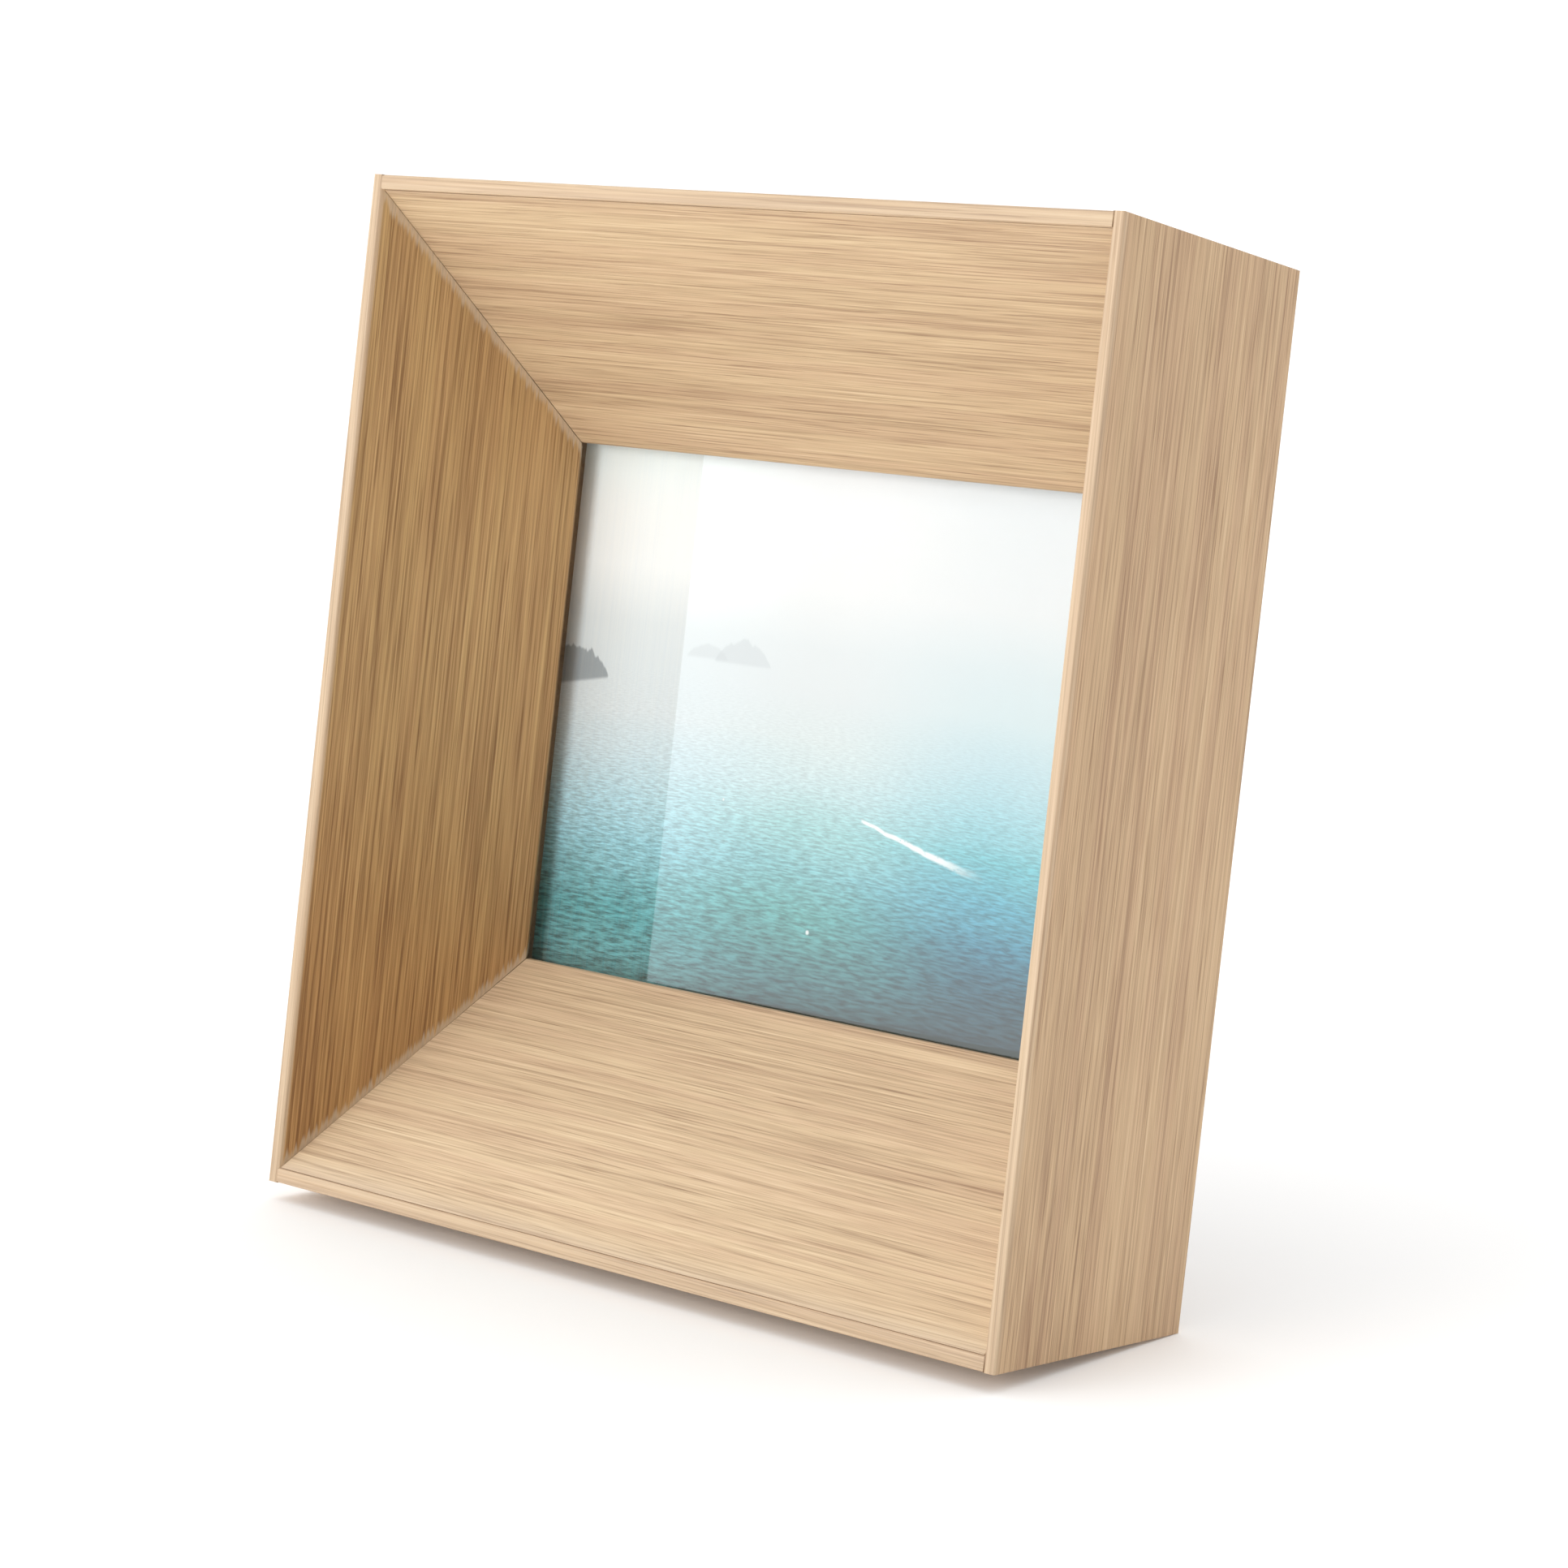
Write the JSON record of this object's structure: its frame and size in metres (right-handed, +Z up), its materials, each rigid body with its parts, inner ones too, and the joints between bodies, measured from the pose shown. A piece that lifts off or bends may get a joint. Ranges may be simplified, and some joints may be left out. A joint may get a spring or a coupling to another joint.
{
  "type": "picture frame",
  "caption": "Deep wooden picture frame with tapered outer sides and inner boards sloping down to a small glazed landscape print, leaning on a folding back strut.",
  "frame": {"origin": "middle of the frame's bounding box on the ground that it stands on, strut open", "axes": "+Z up, +X to the viewer's right, +Y from the front to the back; the frame leans back towards +Y"},
  "size_m": [0.18, 0.0888, 0.1832],
  "materials": {
    "oak_veneer": "satin",
    "fibreboard": "matte",
    "black_board": "matte",
    "glass": "polished",
    "print_paper": "satin",
    "bright_steel": "satin",
    "brass": "satin",
    "rubber": "matte"
  },
  "bodies": {
    "case": {"top_outer_board": "oak_veneer", "bottom_outer_board": "oak_veneer", "left_outer_board": "oak_veneer", "right_outer_board": "oak_veneer", "top_inner_slope": "oak_veneer", "bottom_inner_slope": "oak_veneer", "left_inner_slope": "oak_veneer", "right_inner_slope": "oak_veneer", "top_back_rail": "fibreboard", "bottom_back_rail": "fibreboard", "left_back_rail": "fibreboard", "right_back_rail": "fibreboard", "corner_block_top_left": "fibreboard", "corner_block_top_right": "fibreboard", "corner_block_bottom_left": "fibreboard", "corner_block_bottom_right": "fibreboard", "rail_screw_top_left": "bright_steel", "rail_screw_top_right": "bright_steel", "rail_screw_bottom_left": "bright_steel", "rail_screw_bottom_right": "bright_steel", "glass_pane": "glass", "photo_print": "print_paper", "backing_board": "black_board", "button_screw_top_left": "brass", "button_screw_top_right": "brass", "button_screw_bottom_left": "brass", "button_screw_bottom_right": "brass", "sawtooth_hanger": "brass", "hanger_nail_left": "brass", "hanger_nail_right": "brass", "wall_bumper_left": "rubber", "wall_bumper_right": "rubber", "hinge_board_leaf": "bright_steel", "hinge_pin": "bright_steel", "board_rivet_left": "bright_steel", "board_rivet_right": "bright_steel"},
    "strut": {"strut": "black_board", "hinge_strut_leaf": "bright_steel", "strut_rivet_left": "bright_steel", "strut_rivet_right": "bright_steel"},
    "turn_button_top_left": {"turn_button_top_left": "brass"},
    "turn_button_top_right": {"turn_button_top_right": "brass"},
    "turn_button_bottom_left": {"turn_button_bottom_left": "brass"},
    "turn_button_bottom_right": {"turn_button_bottom_right": "brass"}
  },
  "joints": [
    {"name": "strut_fold", "type": "hinge", "parent": "case", "child": "strut", "pos_m": [0, 0.02495, 0.11905], "axis": [-1, 0, 0], "range_deg": [0, 17.5]},
    {"name": "turn_button_top_left_turn", "type": "hinge", "parent": "case", "child": "turn_button_top_left", "pos_m": [-0.05, 0.02684, 0.14568], "axis": [0, 0.9882, -0.153], "continuous": true},
    {"name": "turn_button_top_right_turn", "type": "hinge", "parent": "case", "child": "turn_button_top_right", "pos_m": [0.05, 0.02684, 0.14568], "axis": [0, 0.9882, -0.153], "continuous": true},
    {"name": "turn_button_bottom_left_turn", "type": "hinge", "parent": "case", "child": "turn_button_bottom_left", "pos_m": [-0.05, 0.0083, 0.0259], "axis": [0, 0.9882, -0.153], "continuous": true},
    {"name": "turn_button_bottom_right_turn", "type": "hinge", "parent": "case", "child": "turn_button_bottom_right", "pos_m": [0.05, 0.0083, 0.0259], "axis": [0, 0.9882, -0.153], "continuous": true}
  ]
}
